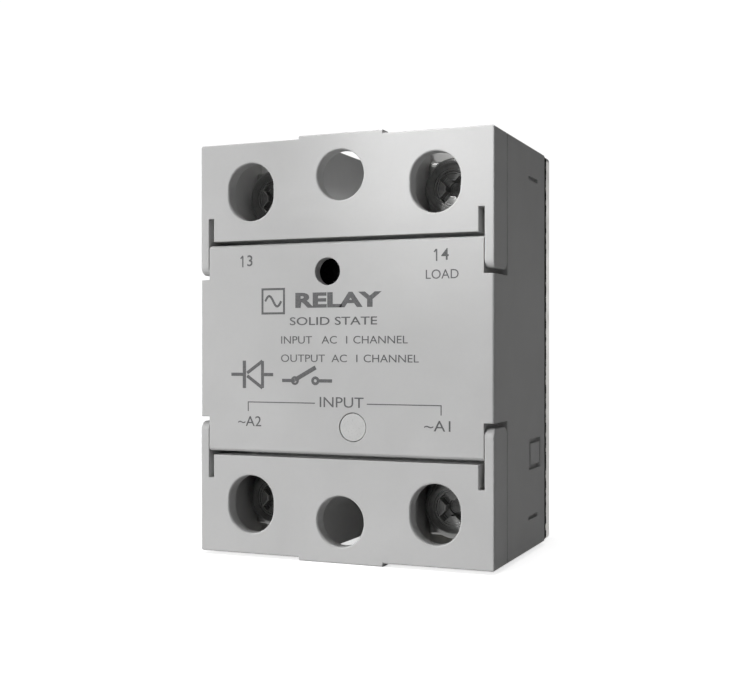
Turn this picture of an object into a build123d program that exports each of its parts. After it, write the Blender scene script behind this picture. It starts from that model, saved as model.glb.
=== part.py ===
from build123d import *
import os

# Panel-mount relay: metal base plate, moulded housing with two hinged touch guards, four screw
# terminals, and a power stack and control board potted inside.
# Frame (mm): X to the right, Z up, the front of the relay looks along -Y.
# Origin: centre of the base plate's back face (the heat-sink face).
# "level d" means a plane parallel to that face, d in front of it.
# The load terminals are at +Z, the input terminals at -Z.

os.makedirs("parts", exist_ok=True)

# ---------------------------------------------------------------- dimensions
width = 44.0
height = 58.2
depth = 29.0
half_width = width / 2
half_height = height / 2
plate_t = 2.2
bead_t = 0.9
bead_inset = 0.6
case_back = plate_t + bead_t
case_corner_r = 0.3
mount_pitch = 47.6
mount_z = mount_pitch / 2
mount_hole_r = 2.25

# cuts run on this far outside the case, so that they leave no skin
past_side = half_width + 1
past_end = half_height + 1

# touch guards
guard_t = 2.0
seat = depth - guard_t - 0.1          # rim that carries the closed guard
block_z = 14.65                       # half height of the fixed centre block
guard_z = 15.25                       # inner edge of the guard panel
arm_in = 20.7                         # inner face of skirt and arm
arm_end_z = 10.5
arm_depth = 6.0
arm_r = 1.2
notch_z = 9.8
recess_x = 20.6
recess_level = depth - arm_depth - 0.15
slit_w = 0.85                         # slit between panel and arm
slit_end_z = 18.55
groove_level = 23.6                   # bottom of the flex groove under slit and split line
groove_x = recess_x + 0.2
pivot_z = 12.0
pivot_level = 27.0
pin_r = 1.0
pin_bore_r = 1.05
pin_in = 19.5
pin_bore_in = 19.35
pin_bore_over = 0.5                   # bore cut runs on into the side recess

# terminals
term_x = 13.85
term_z = 22.1
pocket_in = 8.5
pocket_out = 19.2
pocket_x = (pocket_in + pocket_out) / 2
pocket_w = pocket_out - pocket_in
pocket_z = 16.2                       # inner end of the pocket
floor_level = 16.0
end_face_z = 28.7                     # housing end faces sit back between the side walls
channel_r = 4.6                       # U channel over each mounting screw
lug_t = 1.2
lug_w = 8.4
clamp_t = 1.4
head_r = 4.4
head_t = 3.2
screw_r = 2.5
screw_clear_r = screw_r + 0.25
nut_bore_r = 2.55
nut_af = 8.0                          # across flats
nut_t = 2.7
screw_tail_level = 10.6
lug_top = floor_level + lug_t
clamp_top = lug_top + clamp_t
head_top = clamp_top + head_t

# case inside
wall = 1.6
island_r = channel_r + wall           # wall round each screw channel
cav_x = half_width - wall
cav_x_front = 18.8
cav_z = 13.2
cav_mid_level = 21.2
cav_front_level = depth - wall
under_z = 27.5                        # half height of the wide lower room
boss_level = 9.2                      # back of the four nut bosses
boss_w = 11
under_level = 14.4                    # front of the wide lower room
vent_place = (-1.9, 10.6)
vent_r = 1.9
lens_x, lens_z = 1.9, -10.8
lens_place = (lens_x, lens_z)
lens_hole_r = 2.0
lens_r = 1.9

# power stack, board and potting
solder_top = plate_t + 0.1
ceramic_top = solder_top + 0.63
copper_top = ceramic_top + 0.3
die_top = copper_top + 0.35
gel_top = 6.5
resin_top = 24.5
board_back = 13.0
board_front = 14.6
gate_places = [(-4.3, -9.9), (4.3, -9.9)]

# die: side, x, z, direction in x of its strap
dies = [
    ("left", -8.6, 5.0, 1),
    ("right", 8.6, -1.6, -1),
]

# terminal: kind, side, sign of x, sign of z
terminals = [
    ("load", "left", -1, 1),
    ("load", "right", 1, 1),
    ("input", "left", -1, -1),
    ("input", "right", 1, -1),
]
term_places = [(sx * term_x, sz * term_z) for _, _, sx, sz in terminals]

signs = (1, -1)
quarters = [(sx, sz) for sx in signs for sz in signs]


# ---------------------------------------------------------------- helpers
def level(d):
    return Plane.XZ.offset(d)


def near(value, target, tolerance=0.01):
    return abs(value - target) < tolerance


def save(name, part):
    part.label = name
    export_step(part, f"parts/{name}.step")
    return part


# The next helpers draw in the sketch that is open where they are called.
def span(x0, x1, y0, y1, mode=Mode.ADD):
    """Rectangle between two values on each sketch axis."""
    with Locations(((x0 + x1) / 2, (y0 + y1) / 2)):
        Rectangle(abs(x1 - x0), abs(y1 - y0), mode=mode)


def screw_channels(radius, end_z, mode):
    """U shape round each mounting screw, running out to end_z."""
    for sz in signs:
        with Locations((0, sz * mount_z)):
            Circle(radius, mode=mode)
        span(-radius, radius, sz * mount_z, sz * end_z, mode)


def wide_room():
    """Lower room with islands round the screw channels."""
    Rectangle(2 * cav_x, 2 * under_z)
    screw_channels(island_r, half_height, Mode.SUBTRACT)


def bossed_room():
    """Lower room less the four nut bosses."""
    wide_room()
    with Locations(*term_places):
        Rectangle(boss_w, boss_w, mode=Mode.SUBTRACT)


def centre_room():
    Rectangle(2 * cav_x, 2 * cav_z)


def front_room():
    Rectangle(2 * cav_x_front, 2 * cav_z)


def cavity_rooms(back, front):
    """Stepped cavity from back to front: base level, top level, outline."""
    return [
        (back, boss_level, wide_room),
        (boss_level, under_level, bossed_room),
        (under_level, cav_mid_level, centre_room),
        (cav_mid_level, front, front_room),
    ]


# ---------------------------------------------------------------- base plate
def base_plate():
    with BuildPart() as plate:
        with BuildSketch(level(0)):
            RectangleRounded(width, height, 0.8)
            with Locations((0, mount_z), (0, -mount_z)):
                Circle(mount_hole_r, mode=Mode.SUBTRACT)
        extrude(amount=plate_t)
        # outer rim, back face then front face
        chamfer(plate.faces().sort_by(Axis.Y)[-1].outer_wire().edges(), 0.25)
        chamfer(plate.faces().sort_by(Axis.Y)[0].outer_wire().edges(), 0.15)
        # hole edges, broken on the heat-sink side
        chamfer(
            plate.edges().filter_by(GeomType.CIRCLE).filter_by(
                lambda e: near(e.radius, mount_hole_r) and e.center().Y > -0.01
            ),
            0.2,
        )
    return plate.part


# ---------------------------------------------------------------- housing
def housing():
    pocket_cut = 20                   # both cuts end in front of the case
    front_cut = 40
    mark_depth = 0.6
    slot_level = 9.7
    slot_zs = (24.5, -24.4)
    frame_place = (-8.6, -15.3)

    with BuildPart() as case:
        with BuildSketch(level(case_back)):
            RectangleRounded(width, height, case_corner_r)
        extrude(amount=depth - case_back)
        # end zones lowered for the guards
        with BuildSketch(level(seat)):
            for sz in signs:
                span(-past_side, past_side, sz * block_z, sz * past_end)
        extrude(amount=guard_t + 1, mode=Mode.SUBTRACT)
        # side recesses for the guard skirts and arms
        with BuildSketch(level(recess_level)):
            for sx, sz in quarters:
                span(sx * recess_x, sx * past_side, sz * notch_z, sz * past_end)
        extrude(amount=arm_depth + 1, mode=Mode.SUBTRACT)
        # terminal pockets, open at the ends for the wires
        with BuildSketch(level(floor_level)):
            for sx, sz in quarters:
                span(sx * pocket_in, sx * pocket_out, sz * pocket_z, sz * past_end)
        extrude(amount=pocket_cut, mode=Mode.SUBTRACT)
        # end faces between the side walls sit back a little
        with BuildSketch(level(case_back + 1.2)):
            for sz in signs:
                span(-pocket_out, pocket_out, sz * end_face_z, sz * past_end)
        extrude(amount=front_cut, mode=Mode.SUBTRACT)
        # flex grooves under the split line and under the slits beside the arms
        with BuildSketch(level(groove_level)):
            for sz in signs:
                span(-groove_x, groove_x, sz * block_z, sz * guard_z)
                for sx in signs:
                    span(
                        sx * (arm_in - slit_w), sx * groove_x,
                        sz * block_z, sz * (slit_end_z + 0.3),
                    )
        extrude(amount=6, mode=Mode.SUBTRACT)
        with BuildSketch(level(0)):
            screw_channels(channel_r, past_end, Mode.ADD)
        extrude(amount=front_cut, mode=Mode.SUBTRACT)
        # cavity
        for base, top, draw_room in cavity_rooms(0, cav_front_level):
            with BuildSketch(level(base)):
                draw_room()
            extrude(amount=top - base, mode=Mode.SUBTRACT)
        # captive nut pockets and the screw tail holes under them
        with BuildSketch(level(floor_level - nut_t)):
            with Locations(*term_places):
                Rectangle(nut_af + 0.1, nut_af + 0.1)
        extrude(amount=nut_t + 0.5, mode=Mode.SUBTRACT)
        with BuildSketch(level(screw_tail_level - 0.3)):
            with Locations(*term_places):
                Circle(screw_clear_r)
        extrude(amount=5, mode=Mode.SUBTRACT)
        # slots where the lugs pass the inner walls
        with BuildSketch(level(floor_level)):
            for sx, sz in quarters:
                with Locations((sx * term_x, sz * (cav_z + pocket_z) / 2)):
                    Rectangle(lug_w + 0.1, pocket_z - cav_z + 1)
        extrude(amount=lug_t + 0.1, mode=Mode.SUBTRACT)
        # vent hole and indicator hole in the front wall
        with BuildSketch(level(cav_front_level - 0.5)):
            with Locations(vent_place):
                Circle(vent_r)
            with Locations(lens_place):
                Circle(lens_hole_r)
        extrude(amount=4, mode=Mode.SUBTRACT)
        # blind bores for the guard hinge pins
        for bore_start in (pin_bore_in, -recess_x - pin_bore_over):
            with BuildSketch(Plane.YZ.offset(bore_start)):
                with Locations((-pivot_level, pivot_z), (-pivot_level, -pivot_z)):
                    Circle(pin_bore_r)
            extrude(amount=recess_x - pin_bore_in + pin_bore_over, mode=Mode.SUBTRACT)
        # side marks: two thin slots and one rectangular frame groove per side
        for sx in signs:
            with BuildSketch(Plane.YZ.offset(sx * (half_width - mark_depth))):
                with Locations(*[(-slot_level, z) for z in slot_zs]):
                    Rectangle(5.0, 0.55)
                with Locations(frame_place):
                    Rectangle(6.2, 4.4)
                    Rectangle(4.9, 3.1, mode=Mode.SUBTRACT)
            extrude(amount=sx * 2, mode=Mode.SUBTRACT)
        # clearance chamfers along the two split lines
        chamfer(
            case.edges().filter_by(Axis.X).filter_by(
                lambda e: near(e.center().Y, -depth) and near(abs(e.center().Z), block_z)
            ),
            0.3,
        )
        # softened outer front edges
        fillet(
            case.edges().filter_by(Axis.Z).filter_by(
                lambda e: near(e.center().Y, -depth) and near(abs(e.center().X), half_width)
            ),
            0.35,
        )
    return case.part


# ---------------------------------------------------------------- seal bead
def seal_bead():
    with BuildPart() as bead:
        with BuildSketch(level(plate_t)):
            RectangleRounded(width - 2 * bead_inset, height - 2 * bead_inset, 0.4)
            Rectangle(2 * cav_x, 2 * under_z, mode=Mode.SUBTRACT)
            screw_channels(island_r, half_height - bead_inset, Mode.ADD)
            screw_channels(channel_r + 0.3, past_end, Mode.SUBTRACT)
        extrude(amount=bead_t)
    return bead.part


# ---------------------------------------------------------------- touch guards
def upper_guard():
    screw_access_r = 3.5
    access_w = 7.1
    access_h = 8.2
    lip_w = 12.6
    lip_out = 0.45
    rim_fillet = 0.22
    rib_z = 28.0

    def is_outer_rim(edge):
        """Long outer edges of the front face, and the front edge of the lip."""
        mid = edge.center()
        on_side = near(abs(mid.X), half_width, 0.05) and edge.length > 5
        on_end = near(mid.Z, half_height, 0.05) and edge.length > 5
        on_lip = near(mid.Z, half_height + lip_out)
        return near(mid.Y, -depth, 0.001) and (on_side or on_end or on_lip)

    with BuildPart() as guard:
        # panel
        with BuildSketch(level(depth - guard_t)):
            span(-half_width, half_width, guard_z, half_height)
        extrude(amount=guard_t)
        # skirts that run on as spring arms beyond the panel
        for x_start in (arm_in, -half_width):
            with BuildSketch(Plane.YZ.offset(x_start)):
                span(-depth, arm_depth - depth, arm_end_z, half_height)
            extrude(amount=half_width - arm_in)
        # rounded arm ends
        fillet(
            guard.edges().filter_by(Axis.X).filter_by(lambda e: near(e.center().Z, arm_end_z)),
            arm_r,
        )
        # outer corners
        fillet(
            guard.edges().filter_by(Axis.Y).filter_by(
                lambda e: near(e.center().Z, half_height) and near(abs(e.center().X), half_width)
            ),
            case_corner_r,
        )
        # slits that free the arms, terminal and mounting-screw access holes
        with BuildSketch(level(depth - guard_t - 0.5)):
            for sx in signs:
                span(sx * (arm_in - slit_w), sx * arm_in, guard_z - 1, slit_end_z)
                with Locations((sx * term_x, term_z)):
                    SlotOverall(access_h, access_w, rotation=90)
            with Locations((0, mount_z)):
                Circle(screw_access_r)
        extrude(amount=guard_t + 1, mode=Mode.SUBTRACT)
        # broken edge round every access hole
        chamfer(guard.faces().sort_by(Axis.Y)[0].inner_wires().edges(), 0.15)
        # finger lip at the free edge
        with BuildSketch(Plane.XY.offset(half_height)):
            with Locations((0, -(depth - guard_t / 2))):
                Rectangle(lip_w, guard_t)
        extrude(amount=lip_out)
        fillet(guard.edges().filter_by(is_outer_rim), rim_fillet)
        # stiffening ribs inside the free edge, one over each wire entry
        with BuildSketch(level(depth - guard_t - 0.7)):
            with Locations((pocket_x, rib_z), (-pocket_x, rib_z)):
                RectangleRounded(pocket_w - 1.0, 0.8, 0.3)
        extrude(amount=0.8)
        # hinge pins on the inner faces of the arms
        for pin_start in (pin_in, -arm_in):
            with BuildSketch(Plane.YZ.offset(pin_start)):
                with Locations((-pivot_level, pivot_z)):
                    Circle(pin_r)
            extrude(amount=arm_in - pin_in)
    return guard.part


def lower_guard(upper):
    with BuildPart() as guard:
        mirror(upper, about=Plane.XY)
    return guard.part


# ---------------------------------------------------------------- terminals
def lug(kind, sx, sz):
    """Flat under the clamp, through the wall, with a leg down into the case."""
    x = sx * term_x
    leg_z = 12.5
    leg_w = 5.0
    inner_z = leg_z - lug_t / 2
    outer_z = 26.6
    foot_z = 11.4
    foot_length = 3.0
    foot_t = 0.8
    # load legs stand on the copper tracks, input legs on the control board
    foot_level = copper_top if kind == "load" else board_front

    with BuildPart() as piece:
        with BuildSketch(level(floor_level)):
            with Locations((x, sz * (inner_z + outer_z) / 2)):
                RectangleRounded(lug_w, outer_z - inner_z, 0.4)
            with Locations((x, sz * term_z)):
                Circle(screw_clear_r, mode=Mode.SUBTRACT)
        extrude(amount=lug_t)
        with BuildSketch(level(foot_level)):
            with Locations((x, sz * leg_z)):
                Rectangle(leg_w, lug_t)
        extrude(amount=floor_level - foot_level + 0.2)
        # foot turned inwards for the solder joint
        with BuildSketch(level(foot_level)):
            with Locations((x, sz * foot_z)):
                Rectangle(leg_w, foot_length)
        extrude(amount=foot_t)
    return piece.part


def clamp(x, z):
    """Clamp plate with an edge turned back towards the lug on both sides."""
    clamp_w = 9.6
    clamp_h = 8.8
    edge_t = 0.5
    edge_drop = 0.7

    with BuildPart() as piece:
        with BuildSketch(level(lug_top)):
            with Locations((x, z)):
                RectangleRounded(clamp_w, clamp_h, 0.5)
                Circle(screw_clear_r, mode=Mode.SUBTRACT)
        extrude(amount=clamp_t)
        with BuildSketch(level(lug_top - edge_drop)):
            for sx in signs:
                with Locations((x + sx * (clamp_w - edge_t) / 2, z)):
                    Rectangle(edge_t, clamp_h - 2.0)
        extrude(amount=edge_drop + 0.2)
        fillet(
            piece.edges().filter_by(Axis.X).filter_by(lambda e: near(e.center().Y, -clamp_top)),
            0.4,
        )
    return piece.part


def screw(x, z):
    """Pan head screw, cross recess turned 45 degrees."""
    cross_length = 4.6
    cross_w = 1.0
    cross_depth = 1.7
    centre_r = 1.1
    centre_depth = 2.3
    recess_cut = 3                    # ends in front of the head

    with BuildPart() as piece:
        with BuildSketch(level(screw_tail_level)):
            with Locations((x, z)):
                Circle(screw_r)
        extrude(amount=clamp_top - screw_tail_level)
        with BuildSketch(level(clamp_top)):
            with Locations((x, z)):
                Circle(head_r)
        extrude(amount=head_t)
        fillet(
            piece.edges().filter_by(GeomType.CIRCLE).filter_by(
                lambda e: near(e.center().Y, -head_top)
            ),
            1.1,
        )
        chamfer(
            piece.edges().filter_by(GeomType.CIRCLE).filter_by(
                lambda e: near(e.center().Y, -screw_tail_level)
            ),
            0.5,
        )
        with BuildSketch(level(head_top - cross_depth)):
            with Locations((x, z)):
                Rectangle(cross_length, cross_w, rotation=45)
                Rectangle(cross_length, cross_w, rotation=-45)
        extrude(amount=recess_cut, mode=Mode.SUBTRACT)
        with BuildSketch(level(head_top - centre_depth)):
            with Locations((x, z)):
                Circle(centre_r)
        extrude(amount=recess_cut, mode=Mode.SUBTRACT)
    return piece.part


def terminal_nuts():
    with BuildPart() as nuts:
        with BuildSketch(level(floor_level - nut_t)):
            with Locations(*term_places):
                Rectangle(nut_af, nut_af)
                Circle(nut_bore_r, mode=Mode.SUBTRACT)
        extrude(amount=nut_t)
    return nuts.part


# ---------------------------------------------------------------- power stack
def solder_layer():
    with BuildPart() as solder:
        with BuildSketch(level(plate_t)):
            Rectangle(33.0, 25.4)
        extrude(amount=solder_top - plate_t)
    return solder.part


def ceramic_substrate():
    with BuildPart() as ceramic:
        with BuildSketch(level(solder_top)):
            RectangleRounded(34.0, 26.4, 0.4)
        extrude(amount=ceramic_top - solder_top)
    return ceramic.part


def copper_tracks():
    """Two large tracks and two small gate pads."""
    track_x, track_z = 8.65, 3.2
    with BuildPart() as tracks:
        with BuildSketch(level(ceramic_top)):
            with Locations((-track_x, track_z), (track_x, track_z)):
                RectangleRounded(15.5, 19.2, 0.5)
            with Locations(*gate_places):
                RectangleRounded(4.0, 3.6, 0.5)
        extrude(amount=copper_top - ceramic_top)
    return tracks.part


def thyristor_die(x, z):
    die_w = 6.2
    with BuildPart() as die:
        with BuildSketch(level(copper_top)):
            with Locations((x, z)):
                Rectangle(die_w, die_w)
        extrude(amount=die_top - copper_top)
    return die.part


def die_clips():
    """Copper straps, each from the top of one die to the other track."""
    strap_offset = 5.6                # from die centre to strap centre
    strap_length = 14.4
    strap_w = 2.6
    leg_t = 1.0
    leg_offset = strap_offset + (strap_length - leg_t) / 2
    with BuildPart() as clips:
        for _, x, z, direction in dies:
            with BuildSketch(level(die_top)):
                with Locations((x + direction * strap_offset, z)):
                    Rectangle(strap_length, strap_w)
            extrude(amount=0.5)
            with BuildSketch(level(copper_top)):
                with Locations((x + direction * leg_offset, z)):
                    Rectangle(leg_t, strap_w)
            extrude(amount=die_top - copper_top + 0.2)
    return clips.part


def gate_pins():
    """Pins from the gate pads through the board, each with a round foot."""
    with BuildPart() as pins:
        with BuildSketch(level(copper_top)):
            with Locations(*gate_places):
                Circle(0.5)
        extrude(amount=board_front + 0.9 - copper_top)
        with BuildSketch(level(copper_top)):
            with Locations(*gate_places):
                Circle(1.0)
        extrude(amount=0.4)
    return pins.part


# ---------------------------------------------------------------- control board and parts on it
def control_board():
    with BuildPart() as board:
        with BuildSketch(level(board_back)):
            with Locations((0, -0.85)):
                RectangleRounded(37.0, 24.5, 0.6)
            with Locations(*gate_places):
                Circle(0.56, mode=Mode.SUBTRACT)
        extrude(amount=board_front - board_back)
    return board.part


def optocoupler():
    x, z = 5.6, 3.4
    lead_w = 0.9
    lead_t = 0.5
    lead_pitch = 2.54
    shoulder = 1.9                    # height of the flat part of each lead

    def lead_places(offset):
        return [
            (x + sx * offset, z + row * lead_pitch) for sx in signs for row in (-1, 0, 1)
        ]

    with BuildPart() as opto:
        with BuildSketch(level(board_front + 0.5)):
            with Locations((x, z)):
                Rectangle(6.4, 7.2)
        extrude(amount=3.4)
        chamfer(opto.faces().sort_by(Axis.Y)[0].edges(), 0.3)
        # six flat leads: upright part, then the part that enters the body
        with BuildSketch(level(board_front)):
            with Locations(*lead_places(3.65)):
                Rectangle(lead_t, lead_w)
        extrude(amount=shoulder + lead_t)
        with BuildSketch(level(board_front + shoulder)):
            with Locations(*lead_places(3.3)):
                Rectangle(1.2, lead_w)
        extrude(amount=lead_t)
    return opto.part


def bridge_rectifier():
    x, z = 9.0, -6.2
    lead_x, lead_z = 3.5, 1.3         # from the body centre
    with BuildPart() as bridge:
        with BuildSketch(level(board_front)):
            with Locations((x, z)):
                Rectangle(6.2, 5.0)
        extrude(amount=2.4)
        fillet(bridge.faces().sort_by(Axis.Y)[0].edges(), 0.3)
        with BuildSketch(level(board_front)):
            with Locations(*[(x + sx * lead_x, z + sz * lead_z) for sx, sz in quarters]):
                Rectangle(1.2, 0.9)
        extrude(amount=0.4)
    return bridge.part


def input_capacitor():
    with BuildPart() as can:
        with BuildSketch(level(board_front)):
            with Locations((-7.2, -7.0)):
                Circle(2.5)
        extrude(amount=6.0)
        fillet(can.edges().filter_by(GeomType.CIRCLE).sort_by(Axis.Y)[0:1], 0.4)
    return can.part


def axial_resistors(xs, body_z, body_length, body_r, wire_r, leg_r, leg_inset, axis_height):
    """Resistors lying along Z at each x, wires bent down to the board.

    body_z is the lower end of the body, leg_inset runs from wire end to leg centre.
    """
    wire_out = 1.5                    # wire beyond each body end
    wire_z = body_z - wire_out
    wire_length = body_length + 2 * wire_out
    leg_zs = (wire_z + leg_inset, wire_z + wire_length - leg_inset)
    axis_y = -(board_front + axis_height)
    with BuildPart() as resistors:
        for x in xs:
            with BuildSketch(Plane.XY.offset(body_z)):
                with Locations((x, axis_y)):
                    Circle(body_r)
            extrude(amount=body_length)
            with BuildSketch(Plane.XY.offset(wire_z)):
                with Locations((x, axis_y)):
                    Circle(wire_r)
            extrude(amount=wire_length)
            with BuildSketch(level(board_front)):
                with Locations(*[(x, z) for z in leg_zs]):
                    Circle(leg_r)
            extrude(amount=axis_height + 0.45)
    return resistors.part


def input_resistors():
    return axial_resistors(
        xs=(14.1, 16.6), body_z=-1.6, body_length=6.2, body_r=1.05,
        wire_r=0.3, leg_r=0.38, leg_inset=0.2, axis_height=1.3,
    )


def snubber_resistor():
    return axial_resistors(
        xs=(-2.2,), body_z=-3.2, body_length=8.2, body_r=1.6,
        wire_r=0.35, leg_r=0.42, leg_inset=0.3, axis_height=1.8,
    )


def snubber_capacitor():
    with BuildPart() as block:
        with BuildSketch(level(board_front)):
            with Locations((-7.6, 3.0)):
                RectangleRounded(5.0, 11.0, 0.5)
        extrude(amount=8.5)
        fillet(block.faces().sort_by(Axis.Y)[0].edges(), 0.4)
    return block.part


def varistor():
    """Disc standing on edge across X, on two legs."""
    x, z = -14.8, 2.6
    disc_t = 3.6
    leg_offset = 2.5
    with BuildPart() as disc:
        with BuildSketch(Plane.YZ.offset(x - disc_t / 2)):
            with Locations((-(board_front + 5.0), z)):
                Circle(4.3)
        extrude(amount=disc_t)
        fillet(disc.edges().filter_by(GeomType.CIRCLE), 1.2)
        with BuildSketch(level(board_front)):
            with Locations((x, z - leg_offset), (x, z + leg_offset)):
                Circle(0.35)
        extrude(amount=2.8)
    return disc.part


def indicator_led():
    leg_offset = 1.27
    with BuildPart() as led:
        # flange
        with BuildSketch(level(board_front + 2.6)):
            with Locations(lens_place):
                Circle(1.8)
        extrude(amount=0.9)
        # domed body
        with BuildSketch(level(board_front + 3.4)):
            with Locations(lens_place):
                Circle(1.5)
        extrude(amount=4.0)
        fillet(led.edges().filter_by(GeomType.CIRCLE).sort_by(Axis.Y)[0:1], 1.2)
        # legs
        with BuildSketch(level(board_front)):
            with Locations((lens_x - leg_offset, lens_z), (lens_x + leg_offset, lens_z)):
                Rectangle(0.45, 0.45)
        extrude(amount=2.8)
    return led.part


def light_pipe():
    """Rod from the LED, flange behind the front wall, lens in the hole."""
    flange_t = 0.8
    lens_back = cav_front_level - 0.2
    with BuildPart() as pipe:
        with BuildSketch(level(22.4)):
            with Locations(lens_place):
                Circle(1.5)
        extrude(amount=4.4)
        with BuildSketch(level(cav_front_level - flange_t)):
            with Locations(lens_place):
                Rectangle(5.4, 4.4)
        extrude(amount=flange_t)
        with BuildSketch(level(lens_back)):
            with Locations(lens_place):
                Circle(lens_r)
        extrude(amount=depth - 0.05 - lens_back)
    return pipe.part


# ---------------------------------------------------------------- potting
def silicone_gel(embedded):
    with BuildPart() as gel:
        with BuildSketch(level(plate_t)):
            wide_room()
        extrude(amount=gel_top - plate_t)
        for piece in embedded:
            add(piece, mode=Mode.SUBTRACT)
    return gel.part


def resin_fill(embedded):
    with BuildPart() as resin:
        for base, top, draw_room in cavity_rooms(gel_top, resin_top):
            with BuildSketch(level(base)):
                draw_room()
            extrude(amount=top - base)
        for piece in embedded:
            add(piece, mode=Mode.SUBTRACT)
    return resin.part


# ---------------------------------------------------------------- build and save
for make in (base_plate, housing, seal_bead, terminal_nuts):
    save(make.__name__, make())

upper = save("upper_guard", upper_guard())
save("lower_guard", lower_guard(upper))

embedded = []                         # everything the gel and the resin close round

for (kind, side, sx, sz), (x, z) in zip(terminals, term_places):
    embedded.append(save(f"{kind}_lug_{side}", lug(kind, sx, sz)))
    save(f"{kind}_clamp_{side}", clamp(x, z))
    save(f"{kind}_screw_{side}", screw(x, z))

for make in (solder_layer, ceramic_substrate, copper_tracks):
    embedded.append(save(make.__name__, make()))

for side, x, z, _ in dies:
    embedded.append(save(f"thyristor_die_{side}", thyristor_die(x, z)))

for make in (
    die_clips, gate_pins, control_board, optocoupler, bridge_rectifier, input_capacitor,
    input_resistors, snubber_resistor, snubber_capacitor, varistor, indicator_led, light_pipe,
):
    embedded.append(save(make.__name__, make()))

save("silicone_gel", silicone_gel(embedded))
save("resin_fill", resin_fill(embedded))
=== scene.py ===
"""A small solid state relay on a metal base plate, with its printed marks, on a white stage.

Metres, +Z up. The front face with the print looks towards -Y, +X is to the right when facing
it, and the base plate lies at the back, its depth measured from y = 0.
"""
import math

import bmesh
import bpy
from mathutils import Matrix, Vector


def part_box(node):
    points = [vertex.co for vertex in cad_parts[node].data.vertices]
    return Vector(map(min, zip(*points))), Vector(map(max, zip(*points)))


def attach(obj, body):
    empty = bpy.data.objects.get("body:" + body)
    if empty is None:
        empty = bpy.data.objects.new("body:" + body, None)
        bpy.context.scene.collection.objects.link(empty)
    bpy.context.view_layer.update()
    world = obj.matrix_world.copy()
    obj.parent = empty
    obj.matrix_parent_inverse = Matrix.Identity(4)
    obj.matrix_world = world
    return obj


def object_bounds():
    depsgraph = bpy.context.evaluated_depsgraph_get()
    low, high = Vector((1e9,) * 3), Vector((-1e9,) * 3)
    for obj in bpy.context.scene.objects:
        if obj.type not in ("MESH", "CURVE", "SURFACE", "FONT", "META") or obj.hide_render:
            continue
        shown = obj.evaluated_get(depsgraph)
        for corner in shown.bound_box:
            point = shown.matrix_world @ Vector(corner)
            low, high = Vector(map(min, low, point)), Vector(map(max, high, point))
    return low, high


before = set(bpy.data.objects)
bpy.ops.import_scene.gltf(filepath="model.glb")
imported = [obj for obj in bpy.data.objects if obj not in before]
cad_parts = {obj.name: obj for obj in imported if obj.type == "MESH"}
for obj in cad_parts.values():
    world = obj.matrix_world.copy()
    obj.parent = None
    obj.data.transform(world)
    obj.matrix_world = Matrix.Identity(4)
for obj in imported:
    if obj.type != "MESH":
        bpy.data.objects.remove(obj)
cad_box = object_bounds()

scene = bpy.context.scene
MM = 0.001
MM_PER_M = 1000
WHITE = (1, 1, 1)


# ------------------------------------------------------------------ shader graphs
def shade(color, factor):
    """A darker or lighter version of a colour, each channel held at 1."""
    return [min(1, channel * factor) for channel in color]


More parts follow.
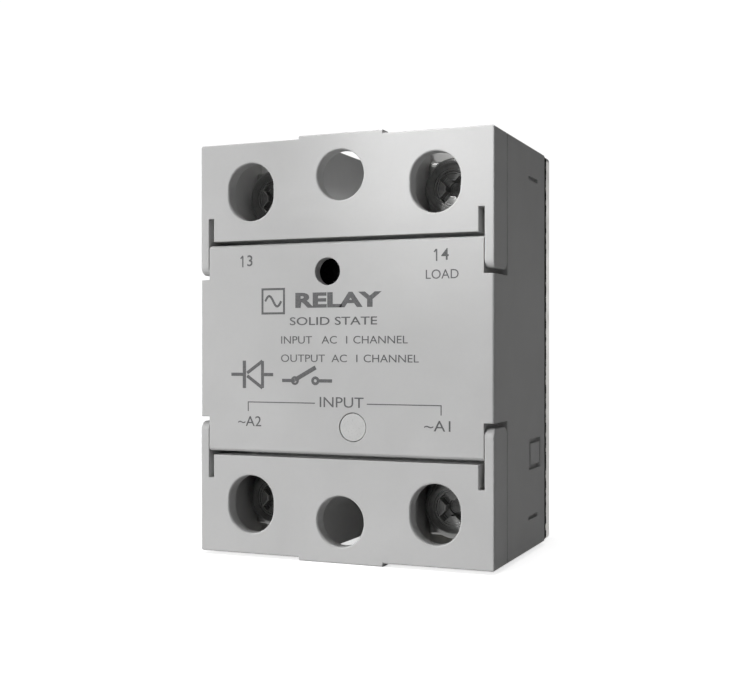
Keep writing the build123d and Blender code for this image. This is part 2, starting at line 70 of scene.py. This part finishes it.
class Graph:
    """The node tree of a material or world, with short methods for common nodes."""

    def __init__(self, owner, output="OutputMaterial"):
        owner.use_nodes = True
        self.owner = owner
        self.tree = owner.node_tree
        self.tree.nodes.clear()
        self.output = self.node(output)

    def feed(self, socket, value):
        """Links a socket to another, or sets its value; colours are given as RGB."""
        if isinstance(value, bpy.types.NodeSocket):
            self.tree.links.new(value, socket)
        elif socket.type == "RGBA":
            socket.default_value = (*value, 1)
        else:
            socket.default_value = value

    def node(self, kind, inputs=None, **settings):
        node = self.tree.nodes.new("ShaderNode" + kind)
        for key, value in settings.items():
            setattr(node, key, value)
        for key, value in (inputs or {}).items():
            self.feed(node.inputs[key], value)
        return node

    def surface(self, shader):
        """Ends the graph with a shader and returns its material or world."""
        self.feed(self.output.inputs["Surface"], shader)
        return self.owner

    def principled(self, inputs):
        return self.node("BsdfPrincipled", inputs).outputs["BSDF"]

    def emission(self, inputs):
        return self.node("Emission", inputs).outputs["Emission"]

    def mix_shader(self, factor, first, second):
        return self.node("MixShader", {"Fac": factor, 1: first, 2: second}).outputs[0]

    def object_metres(self):
        return self.node("TexCoord").outputs["Object"]

    def coord(self, scale=(1, 1, 1), rotation=(0, 0, 0)):
        """Object coordinates in millimetres."""
        return self.node("Mapping", {
            "Scale": [MM_PER_M * s for s in scale],
            "Rotation": rotation,
            "Vector": self.object_metres(),
        }).outputs["Vector"]

    def split(self, vector):
        return self.node("SeparateXYZ", {0: vector}).outputs

    def noise(self, vector, scale, detail=3.0, roughness=0.5, distortion=0.0):
        return self.node("TexNoise", {
            "Scale": scale, "Detail": detail, "Roughness": roughness,
            "Distortion": distortion, "Vector": vector,
        }).outputs["Fac"]

    def ramp(self, value, span=(0.3, 0.7), to=(0, 1), interpolation="LINEAR"):
        """Maps the span of input values onto the range 'to'."""
        return self.node("MapRange", {
            "From Min": span[0], "From Max": span[1],
            "To Min": to[0], "To Max": to[1], "Value": value,
        }, interpolation_type=interpolation).outputs["Result"]

    def mix(self, factor, first, second):
        """Blends two colours."""
        inputs = {0: factor, 6: first, 7: second}
        return self.node("Mix", inputs, data_type="RGBA").outputs[2]

    def calc(self, operation, first, second=None):
        inputs = {0: first}
        if second is not None:
            inputs[1] = second
        return self.node("Math", inputs, operation=operation).outputs[0]

    def times(self, value, by):
        return self.calc("MULTIPLY", value, by)

    def plus(self, value, other):
        return self.calc("ADD", value, other)

    def vector_calc(self, operation, inputs):
        return self.node("VectorMath", inputs, operation=operation).outputs

    def bump(self, height, strength, depth_mm, normal=None):
        inputs = {"Strength": strength, "Distance": depth_mm * MM, "Height": height}
        if normal is not None:
            inputs["Normal"] = normal
        return self.node("Bump", inputs).outputs["Normal"]

    def edges(self, radius_mm):
        """Rounded shading normal, and a mask that is high along sharp edges."""
        rounded = self.node("Bevel", {"Radius": radius_mm * MM}, samples=6).outputs["Normal"]
        flat = self.node("NewGeometry").outputs["Normal"]
        alike = self.vector_calc("DOT_PRODUCT", {0: rounded, 1: flat})["Value"]
        return rounded, self.ramp(alike, span=(1.0, 0.75))


# ------------------------------------------------------------------ material recipes
def new_graph(name):
    return Graph(bpy.data.materials.new(name))


def moulded_plastic(name, base):
    """Fine-grained moulding with faint flow clouds and edges painted a little lighter in
    patches, a painted highlight.
    """
    roughness = 0.57
    g = new_graph(name)
    place = g.coord()
    clouds = g.noise(place, scale=0.07, detail=4, roughness=0.55, distortion=0.6)
    mottling = g.noise(place, scale=1.9, detail=3, roughness=0.6)
    fine = g.noise(place, scale=7.5, detail=4, roughness=0.65)
    coarse = g.noise(place, scale=2.6, detail=2, roughness=0.5)

    color = g.mix(g.ramp(clouds), shade(base, factor=0.955), shade(base, factor=1.035))
    mottle = g.ramp(mottling, span=(0.35, 0.75), to=(0.0, 0.10))
    color = g.mix(mottle, color, shade(base, factor=0.86))
    normal, edge = g.edges(radius_mm=0.22)
    # painted highlight: the colour is lightened in patches along the edges
    painted_edge_highlight = g.times(edge, by=g.ramp(coarse, span=(0.35, 0.65), to=(0.15, 0.5)))
    color = g.mix(painted_edge_highlight, color, shade(base, factor=1.16))

    height = g.plus(fine, g.times(coarse, by=0.35))
    return g.surface(g.principled({
        "Base Color": color,
        "Roughness": g.ramp(fine, to=(roughness - 0.07, roughness + 0.09)),
        "Specular IOR Level": 0.22,
        "Normal": g.bump(height, strength=0.35, depth_mm=0.03, normal=normal),
    }))


def metal_shader(g, base, roughness, streak=(1, 1, 1), streak_amount=0.15):
    """Drawn streaks, cloudy dulling and edges painted brighter, a painted highlight."""
    place = g.coord()
    lines = g.noise(g.coord(streak), scale=3.0, detail=5, roughness=0.7)
    clouds = g.noise(place, scale=0.35, detail=4, roughness=0.6, distortion=0.5)
    fine = g.noise(place, scale=9.0, detail=3, roughness=0.6)

    color = g.mix(g.ramp(lines), shade(base, factor=1 - streak_amount), base)
    dulling = g.ramp(clouds, span=(0.35, 0.75), to=(0.0, 0.35))
    color = g.mix(dulling, color, shade(base, factor=0.72))
    normal, edge = g.edges(radius_mm=0.15)
    # painted highlight: the colour is brightened along the edges
    color = g.mix(g.times(edge, by=0.45), color, shade(base, factor=1.2))

    streaky = g.ramp(lines, to=(roughness - 0.06, roughness + 0.08))
    height = g.plus(lines, g.times(fine, by=0.4))
    return g.principled({
        "Base Color": color,
        "Metallic": 1.0,
        "Roughness": g.plus(streaky, g.ramp(clouds, span=(0.4, 0.8), to=(0, 0.12))),
        "Normal": g.bump(height, strength=0.2, depth_mm=0.02, normal=normal),
    })


def metal(name, *finish):
    g = new_graph(name)
    return g.surface(metal_shader(g, *finish))


def plate_metal(name, *finish):
    """Metal with a thin dark strip painted on the plate's front side margins, a painted shadow
    of the seam between housing and plate.
    """
    margin = 0.9  # mm, width of the painted shadow strip at each side
    low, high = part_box("base_plate")
    half_width = high.x * MM_PER_M
    thickness = -low.y * MM_PER_M

    g = new_graph(name)
    bare = metal_shader(g, *finish)
    axes = g.split(g.object_metres())
    wobble = g.noise(g.coord(), scale=0.55, detail=3, roughness=0.6)
    depth = g.times(axes["Y"], by=-MM_PER_M)
    # the ragged rear limit of the painted seam shadow, a little behind the plate's front face
    limit = g.ramp(wobble, to=(thickness - 0.04, thickness - 0.22))
    front = g.calc("GREATER_THAN", depth, limit)
    off_centre = g.times(g.calc("ABSOLUTE", axes["X"]), by=MM_PER_M)
    side = g.calc("GREATER_THAN", off_centre, half_width - margin)
    # painted shadow: a near-black surface laid where the seam between housing and plate is in
    # shade
    painted_seam_shadow = g.principled({
        "Base Color": (0.030, 0.030, 0.030),
        "Roughness": 0.7,
        "Specular IOR Level": 0.12,
        "Normal": g.bump(wobble, strength=0.5, depth_mm=0.05),
    })
    return g.surface(g.mix_shader(g.times(front, by=side), bare, painted_seam_shadow))


def turned_metal(name, base, centre, roughness):
    """Screw metal about an axis along Y: turning rings, a threaded shank, edges painted bright
    as a painted highlight, and painted shade in the thread roots.
    """
    pitch = 0.8  # mm
    shank_radius = 2.62  # mm
    g = new_graph(name)
    offset = g.vector_calc("SUBTRACT", {0: g.object_metres(), 1: (centre[0], 0, centre[1])})[0]
    axes = g.split(offset)
    squares = g.plus(g.calc("POWER", axes["X"], 2), g.calc("POWER", axes["Z"], 2))
    radius = g.times(g.calc("SQRT", squares), by=MM_PER_M)
    rings = g.node("TexNoise", {"Scale": 6.0, "Detail": 4, "W": radius},
                   noise_dimensions="1D").outputs["Fac"]

    # the helix: turns along the axis plus the part of a turn around it
    part_turn = g.calc("DIVIDE", g.calc("ARCTAN2", axes["Z"], axes["X"]), 2 * math.pi)
    turns = g.plus(g.times(axes["Y"], by=MM_PER_M / pitch), part_turn)
    saw = g.calc("PINGPONG", turns, 0.5)
    shank = g.calc("LESS_THAN", radius, shank_radius)
    thread = g.times(g.times(saw, by=shank), by=9.0)

    place = g.coord()
    clouds = g.noise(place, scale=0.8, detail=4, roughness=0.6, distortion=0.4)
    specks = g.noise(place, scale=3.2, detail=4, roughness=0.7)
    normal, edge = g.edges(radius_mm=0.16)
    cloudy = g.ramp(clouds, span=(0.35, 0.7), to=(0, 0.55))
    color = g.mix(cloudy, base, shade(base, factor=0.55))
    speckled = g.ramp(specks, span=(0.55, 0.8), to=(0, 0.5))
    color = g.mix(speckled, color, shade(base, factor=0.35))
    # painted highlight: the colour is brightened towards pale steel along the edges
    color = g.mix(g.times(edge, by=0.75), color, (0.82, 0.82, 0.80))
    # painted shade: the colour is darkened in the thread roots
    painted_root_shade = g.times(g.calc("LESS_THAN", saw, 0.16), by=shank)
    color = g.mix(g.times(painted_root_shade, by=0.5), color, shade(base, factor=0.3))
    height = g.plus(rings, thread)
    return g.surface(g.principled({
        "Base Color": color,
        "Metallic": 1.0,
        "Roughness": g.ramp(rings, to=(roughness - 0.06, roughness + 0.12)),
        "Normal": g.bump(height, strength=0.28, depth_mm=0.035, normal=normal),
    }))


def mottled(name, base, roughness, scale, amount, grain,
            metallic=0.0, coat=0.0, transmission=0.0, specular=0.5):
    """Plain substance with mottled colour and a fine grain."""
    g = new_graph(name)
    place = g.coord()
    patches = g.noise(place, scale=scale, detail=4, roughness=0.6, distortion=0.3)
    fine = g.noise(place, scale=scale * 5, detail=3, roughness=0.6)
    dark = shade(base, factor=1 - amount)
    light = shade(base, factor=1 + amount)
    return g.surface(g.principled({
        "Base Color": g.mix(g.ramp(patches), dark, light),
        "Roughness": g.ramp(fine, to=(max(0.03, roughness - 0.06), roughness + 0.08)),
        "Metallic": metallic,
        "Coat Weight": coat,
        "Coat Roughness": 0.12,
        "Transmission Weight": transmission,
        "Specular IOR Level": specular,
        "Normal": g.bump(fine, strength=grain, depth_mm=0.03),
    }))


def fibre_board(name):
    """Green solder mask over a woven laminate, with faint runs showing through."""
    g = new_graph(name)
    weave = g.node("TexWave", {
        "Scale": 0.5, "Distortion": 1.0, "Vector": g.coord(),
    }).outputs["Fac"]
    runs = g.node("TexBrick", {
        "Scale": 0.22, "Mortar Size": 0.03,
        "Vector": g.coord(rotation=(math.pi / 2, 0, 0)),
    }).outputs["Fac"]
    color = g.mix(weave, (0.015, 0.11, 0.045), (0.02, 0.13, 0.055))
    color = g.mix(g.times(runs, by=0.6), color, (0.06, 0.24, 0.10))
    return g.surface(g.principled({
        "Base Color": color,
        "Roughness": 0.32,
        "Coat Weight": 0.3,
        "Normal": g.bump(weave, strength=0.1, depth_mm=0.02),
    }))


# ------------------------------------------------------------------ materials
CASE = (0.580, 0.580, 0.578)
SCREW_STEEL = (0.36, 0.36, 0.355)

# name: base colour, roughness, streak scale along x y z, streak darkening
METALS = {
    "clamp_steel": ((0.40, 0.40, 0.39), 0.32, (4, 1, 0.2), 0.18),
    "nut_steel": ((0.58, 0.58, 0.56), 0.34),
    "lug_brass": ((0.70, 0.66, 0.56), 0.32, (0.2, 1, 4), 0.14),
    "solder": ((0.55, 0.55, 0.57), 0.42),
    "copper": ((0.85, 0.46, 0.30), 0.30, (1, 1, 0.2)),
    "gate_pin_metal": ((0.72, 0.70, 0.62), 0.28),
}

# name, base colour, roughness, mottling scale, mottling amount, grain strength, other finish
MOTTLED = (
    ("seal_black", (0.016, 0.016, 0.016), 0.75, 0.9, 0.25, 0.4, {"specular": 0.12}),
    ("resin_black", (0.006, 0.006, 0.007), 0.22, 0.5, 0.3, 0.10, {}),
    ("gel_clear", (0.70, 0.72, 0.70), 0.12, 0.4, 0.05, 0.05, {"transmission": 0.6}),
    ("alumina", (0.86, 0.86, 0.83), 0.5, 2.0, 0.05, 0.2, {}),
    ("silicon", (0.10, 0.11, 0.14), 0.12, 0.7, 0.2, 0.02, {"metallic": 0.6}),
    ("epoxy_black", (0.018, 0.018, 0.019), 0.45, 3.0, 0.2, 0.35, {}),
    ("capacitor_sleeve", (0.015, 0.02, 0.05), 0.25, 0.8, 0.2, 0.08, {"coat": 0.4}),
    ("resistor_blue", (0.12, 0.27, 0.42), 0.4, 1.6, 0.12, 0.3, {"coat": 0.3}),
    ("resistor_grey", (0.30, 0.32, 0.27), 0.6, 2.2, 0.12, 0.5, {}),
    ("film_capacitor", (0.62, 0.50, 0.06), 0.32, 1.0, 0.08, 0.1, {"coat": 0.3}),
    ("varistor_blue", (0.03, 0.07, 0.28), 0.38, 1.1, 0.12, 0.3, {"coat": 0.4}),
    ("led_green", (0.12, 0.52, 0.16), 0.18, 0.6, 0.06, 0.05,
     {"transmission": 0.4, "coat": 0.5}),
    ("lens_clear", (0.555, 0.555, 0.55), 0.30, 0.9, 0.03, 0.06,
     {"transmission": 0.04, "coat": 0.15}),
)

# CAD piece: material
PIECES = {
    "housing": "case_plastic", "upper_guard": "guard_plastic", "lower_guard": "guard_plastic",
    "base_plate": "plate_metal", "seal_bead": "seal_black", "terminal_nuts": "nut_steel",
    "solder_layer": "solder", "ceramic_substrate": "alumina", "copper_tracks": "copper",
    "thyristor_die_left": "silicon", "thyristor_die_right": "silicon", "die_clips": "copper",
    "gate_pins": "gate_pin_metal", "control_board": "board_green",
    "optocoupler": "epoxy_black", "bridge_rectifier": "epoxy_black",
    "input_capacitor": "capacitor_sleeve", "input_resistors": "resistor_blue",
    "snubber_resistor": "resistor_grey", "snubber_capacitor": "film_capacitor",
    "varistor": "varistor_blue", "indicator_led": "led_green", "light_pipe": "lens_clear",
    "silicone_gel": "gel_clear", "resin_fill": "resin_black",
}

materials = {
    "case_plastic": moulded_plastic("case_plastic", CASE),
    "guard_plastic": moulded_plastic("guard_plastic", shade(CASE, factor=1.01)),
    # finish columns as in METALS
    "plate_metal": plate_metal("plate_metal", (0.80, 0.79, 0.76), 0.30, (0.05, 1, 6), 0.12),
}
for name, finish in METALS.items():
    materials[name] = metal(name, *finish)
for name, *finish, extras in MOTTLED:
    materials[name] = mottled(name, *finish, **extras)
materials["board_green"] = fibre_board("board_green")
ink = mottled("marking_ink", (0.105, 0.105, 0.108), roughness=0.6, scale=4.0,
              amount=0.30, grain=0.4)

for kind in ("load", "input"):
    for side in ("left", "right"):
        screw, steel = f"{kind}_screw_{side}", f"screw_steel_{kind}_{side}"
        low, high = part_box(screw)
        axis = ((low.x + high.x) / 2, (low.z + high.z) / 2)
        materials[steel] = turned_metal(steel, SCREW_STEEL, axis, roughness=0.30)
        PIECES[screw] = steel
        PIECES[f"{kind}_clamp_{side}"] = "clamp_steel"
        PIECES[f"{kind}_lug_{side}"] = "lug_brass"

for name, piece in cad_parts.items():
    piece.data.materials.clear()
    piece.data.materials.append(materials[PIECES[name]])

# ------------------------------------------------------------------ printing on the front face
# Places on the face are x, z in mm.
front_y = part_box("housing")[0].y
INK = 0.012 * MM  # half the thickness of the print
LAYER_STEP = 0.00025 * MM  # each stroke stands this much above the one before it
CAP_SHARE = 0.73  # cap height as a share of the font size


def add_print(name, mesh):
    """Puts a printed mesh on the relay."""
    mesh.materials.clear()
    mesh.materials.append(ink)
    piece = bpy.data.objects.new(name, mesh)
    scene.collection.objects.link(piece)
    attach(piece, "relay")


def print_text(name, text, x, z, cap_height, width=None, bold=0.0):
    """Word centred on x, z, stretched to the width if one is given."""
    curve = bpy.data.curves.new(name + "_t", "FONT")
    curve.body = text
    curve.size = cap_height * MM / CAP_SHARE
    curve.align_x = "CENTER"
    curve.align_y = "CENTER"
    curve.extrude = INK
    curve.offset = bold * MM
    curve.resolution_u = 4
    word = bpy.data.objects.new(name + "_t", curve)
    scene.collection.objects.link(word)
    word.rotation_euler = (math.pi / 2, 0, 0)
    word.location = (x * MM, front_y - INK * 0.6, z * MM)
    bpy.context.view_layer.update()
    if width:
        word.scale.x = width / (word.dimensions.x / MM)
        bpy.context.view_layer.update()

    depsgraph = bpy.context.evaluated_depsgraph_get()
    mesh = bpy.data.meshes.new_from_object(word.evaluated_get(depsgraph))
    mesh.transform(word.matrix_world)
    bpy.data.objects.remove(word)
    # weld the faces and sides of the letters into closed solids
    bm = bmesh.new()
    bm.from_mesh(mesh)
    bmesh.ops.remove_doubles(bm, verts=bm.verts, dist=1e-7)
    bmesh.ops.dissolve_degenerate(bm, dist=1e-8, edges=bm.edges)
    bm.to_mesh(mesh)
    bm.free()
    add_print(name, mesh)


def print_shapes(name, outlines):
    """Thin closed prisms, one for each outline of (x, z) corners."""
    bm = bmesh.new()
    for layer, outline in enumerate(outlines):
        top = INK * 1.6 + layer * LAYER_STEP
        corners = [bm.verts.new((x * MM, front_y - top, z * MM)) for x, z in outline]
        face = bm.faces.new(corners)
        extruded = bmesh.ops.extrude_face_region(bm, geom=[face])["geom"]
        back = [part for part in extruded if isinstance(part, bmesh.types.BMVert)]
        bmesh.ops.translate(bm, vec=(0, INK * 2, 0), verts=back)
    bmesh.ops.recalc_face_normals(bm, faces=bm.faces)
    mesh = bpy.data.meshes.new(name)
    bm.to_mesh(mesh)
    bm.free()
    add_print(name, mesh)


def rect(x0, z0, x1, z1):
    return [(x0, z0), (x1, z0), (x1, z1), (x0, z1)]


def ring(x, z, inner, outer, segments=20):
    """Outlines of a flat ring."""
    outlines = []
    for k in range(segments):
        start = 2 * math.pi * k / segments
        end = 2 * math.pi * (k + 1) / segments
        corners = ((inner, start), (outer, start), (outer, end), (inner, end))
        outlines.append([(x + r * math.cos(a), z + r * math.sin(a)) for r, a in corners])
    return outlines


def stroke(start, end, width):
    """Outline of a straight line between two points."""
    (x0, z0), (x1, z1) = start, end
    length = math.hypot(x1 - x0, z1 - z0)
    nx = -(z1 - z0) / length * width / 2
    nz = (x1 - x0) / length * width / 2
    return [(x0 + nx, z0 + nz), (x0 - nx, z0 - nz), (x1 - nx, z1 - nz), (x1 + nx, z1 + nz)]


def path(points, width):
    return [stroke(start, end, width) for start, end in zip(points, points[1:])]


def sine(x, z, half, height, width, steps=20):
    """One full wave of the given half length and amplitude."""
    points = [(x - half + 2 * half * k / steps, z + height * math.sin(2 * math.pi * k / steps))
              for k in range(steps + 1)]
    return path(points, width)


def digit_one(x, z):
    return path([(x - 0.22 * DIGIT, z + 0.26 * DIGIT), (x, z + 0.5 * DIGIT),
                 (x, z - 0.5 * DIGIT)], width=0.2)


# terminal numbers 13 and 14: the ones are drawn as strokes
DIGIT = 1.6  # height
print_text("mark_13", "3", -14.0, 12.3, DIGIT, bold=0.02)
print_text("mark_14", "4", 15.25, 12.35, DIGIT, bold=0.02)
print_shapes("mark_ones", digit_one(-15.15, 12.3) + digit_one(14.05, 12.35))

# name, text, centre x, centre z, cap height, width, boldness (all mm)
WORDS = (
    ("mark_load", "LOAD", 14.8, 9.75, 1.3, 4.6),
    ("mark_input", "INPUT", 0.15, -7.5, 1.5, 6.6),
    ("mark_a2", "~A2", -14.05, -10.4, 1.5, 3.7),
    ("mark_a1", "~A1", 14.35, -10.4, 1.5, 3.7),
    ("mark_relay", "RELAY", -0.6, 6.55, 2.0, 13.0, 0.115),
    ("mark_solid_state", "SOLID STATE", -1.1, 3.7, 1.15, 13.2, 0.01),
    ("mark_in_line", "INPUT   AC  1 CHANNEL", 0.4, 1.1, 1.1, 19.0),
    ("mark_out_line", "OUTPUT  AC  1 CHANNEL", 1.2, -1.45, 1.1, 20.6),
)
for word_row in WORDS:
    print_text(*word_row)


def print_bracket():
    """A bar on each side of the word INPUT, turned down at its outer end."""
    left, right = -14.35, 14.75
    inner_left, inner_right = -3.8, 4.0
    bar_z, foot_z = -7.6, -8.9
    line = 0.14
    low, high = bar_z - line / 2, bar_z + line / 2
    print_shapes("mark_bracket", [
        rect(left, low, inner_left, high), rect(left, foot_z, left + line, low),
        rect(inner_right, low, right, high), rect(right - line, foot_z, right, low),
    ])


def print_wave_symbol():
    """Square frame with one sine wave, left of the word RELAY."""
    x, z, half, line = -10.3, 6.6, 1.85, 0.30
    left, right, bottom, top = x - half, x + half, z - half, z + half
    print_shapes("mark_symbol", [
        rect(left, bottom, left + line, top), rect(right - line, bottom, right, top),
        rect(left + line, top - line, right - line, top),
        rect(left + line, bottom, right - line, bottom + line),
    ] + sine(x, z, half=1.25, height=0.75, width=0.32))


def print_circuit_symbols():
    """A diode between two leads and, to its right, a switch contact."""
    z, line = -3.7, 0.46
    print_shapes(
        "mark_diodes",
        path([(-17.0, z), (-15.15, z)], line)
        + path([(-14.9, z - 1.95), (-14.9, z + 1.95)], line + 0.06)
        + path([(-14.45, z + 0.2), (-12.0, z + 1.9), (-12.0, z - 1.9), (-14.45, z - 0.2)], line)
        + path([(-11.75, z), (-10.3, z)], line))
    lead_z, hinge_x = z - 0.8, -6.9
    print_shapes(
        "mark_contact",
        path([(-8.9, lead_z), (hinge_x, lead_z)], line)
        + path([(hinge_x, z - 0.7), (-3.7, z + 1.05)], line + 0.14)
        + path([(-3.2, lead_z), (-1.2, lead_z)], line)
        + ring(-3.75, lead_z, inner=0.22, outer=0.62)
        + ring(hinge_x, lead_z, inner=0.3, outer=0.62))


print_bracket()
print_wave_symbol()
print_circuit_symbols()


# ------------------------------------------------------------------ stage
def floor_material():
    """White floor that looks different to the camera, to reflections and to bounced light."""
    g = new_graph("floor_white")
    clouds = g.noise(g.coord((0.02, 0.02, 0.02)), scale=1.0, detail=3)
    matt = g.principled({
        "Base Color": g.mix(clouds, (0.90, 0.90, 0.90), (0.93, 0.93, 0.93)),
        "Roughness": 0.9,
        "Specular IOR Level": 0.0,
    })
    glow = g.emission({"Color": WHITE, "Strength": 0.72})
    near = g.node("AddShader", {0: matt, 1: glow}).outputs[0]
    # away from the object the floor runs out into plain white
    far = g.emission({"Color": WHITE, "Strength": 1.05})
    geometry = g.node("NewGeometry").outputs
    distance = g.vector_calc("LENGTH", {0: geometry["Position"]})["Value"]
    seen = g.mix_shader(g.ramp(distance, span=(0.05, 0.14), to=(0.0, 1.0)), near, far)
    ray = g.node("LightPath").outputs
    dark = g.node("BsdfDiffuse", {"Color": (0.32, 0.32, 0.32)}).outputs["BSDF"]
    shader = g.mix_shader(ray["Is Camera Ray"], dark, seen)
    # in polished metal the floor is pale
    shader = g.mix_shader(ray["Is Glossy Ray"], shader, g.emission({"Strength": 0.64}))
    # from below the floor is clear, so that the underside can be seen
    clear = g.node("BsdfTransparent").outputs["BSDF"]
    return g.surface(g.mix_shader(geometry["Backfacing"], shader, clear))


def build_world():
    """White to the camera; as light, strongest from the front and weak from the back."""
    g = Graph(bpy.data.worlds.new("studio"), "OutputWorld")
    seen = g.node("Background", {"Color": WHITE, "Strength": 1.05}).outputs[0]
    y = g.split(g.node("TexCoord").outputs["Generated"])["Y"]
    strength = g.ramp(y, span=(0.35, -1.0), to=(0.059, 0.20), interpolation="SMOOTHSTEP")
    lit = g.node("Background", {"Color": WHITE, "Strength": strength}).outputs[0]
    camera_ray = g.node("LightPath").outputs["Is Camera Ray"]
    scene.world = g.surface(g.mix_shader(camera_ray, lit, seen))


def aim(thing, target, axis="-Z"):
    direction = Vector(target) - thing.location
    thing.rotation_euler = direction.to_track_quat(axis, "Y").to_euler()


def add_light(name, kind, location, target, **settings):
    light = bpy.data.lights.new(name, kind)
    for key, value in settings.items():
        setattr(light, key, value)
    lamp = bpy.data.objects.new(name, light)
    scene.collection.objects.link(lamp)
    lamp.location = location
    aim(lamp, target)


def add_plane(name, size, location):
    bpy.ops.mesh.primitive_plane_add(size=size, location=location)
    plane = bpy.context.object
    plane.name = name
    return plane


def add_card():
    """Bright card behind on the right, seen only in reflections."""
    card = add_plane("card", size=0.5, location=(0.42, 1.15, 0.0))
    aim(card, (0, 0, 0), axis="Z")
    g = new_graph("card_white")
    card.data.materials.append(g.surface(g.emission({"Strength": 1.02})))
    card.visible_camera = False
    card.visible_diffuse = False
    card.visible_shadow = False


def add_camera():
    """From the front, a little to the right."""
    lens = bpy.data.cameras.new("camera")
    lens.sensor_width = 36
    lens.sensor_fit = "HORIZONTAL"
    lens.lens = 56.93
    lens.shift_x = -0.0242
    lens.clip_start = 0.005
    camera = bpy.data.objects.new("camera", lens)
    scene.collection.objects.link(camera)
    camera.location = (0.0658, -0.1735, 0.0)
    direction = Vector((-0.3798, 0.9251, -0.0015))
    camera.rotation_euler = direction.to_track_quat("-Z", "Y").to_euler()
    scene.camera = camera


FLOOR_GAP = 0.00002  # keeps the floor just clear of the relay
floor_z = min(cad_box[0][2], cad_box[1][2]) - FLOOR_GAP
floor = add_plane("floor", size=6, location=(0, 1.2, floor_z))
floor.data.materials.append(floor_material())
build_world()

add_light("key", "AREA", location=(-0.98, -1.24, 0.08), target=(0, -0.02, 0),
          shape="RECTANGLE", size=0.75, size_y=0.75, energy=30.6)
add_light("fill_top", "AREA", location=(0.0, -0.10, 0.80), target=(0, -0.02, 0.02),
          shape="RECTANGLE", size=0.20, size_y=0.20, energy=2.8)
# soft pool of light on the upper right of the front face
add_light("pool", "SPOT", location=(-0.035, -0.21, 0.13), target=(0.015, -0.029, 0.030),
          energy=0.93, spot_size=math.radians(12), spot_blend=1.0, shadow_soft_size=0.01)
add_card()

scene.view_settings.view_transform = "Standard"
scene.view_settings.look = "None"
scene.view_settings.exposure = 0.0
scene.view_settings.gamma = 1.0
add_camera()
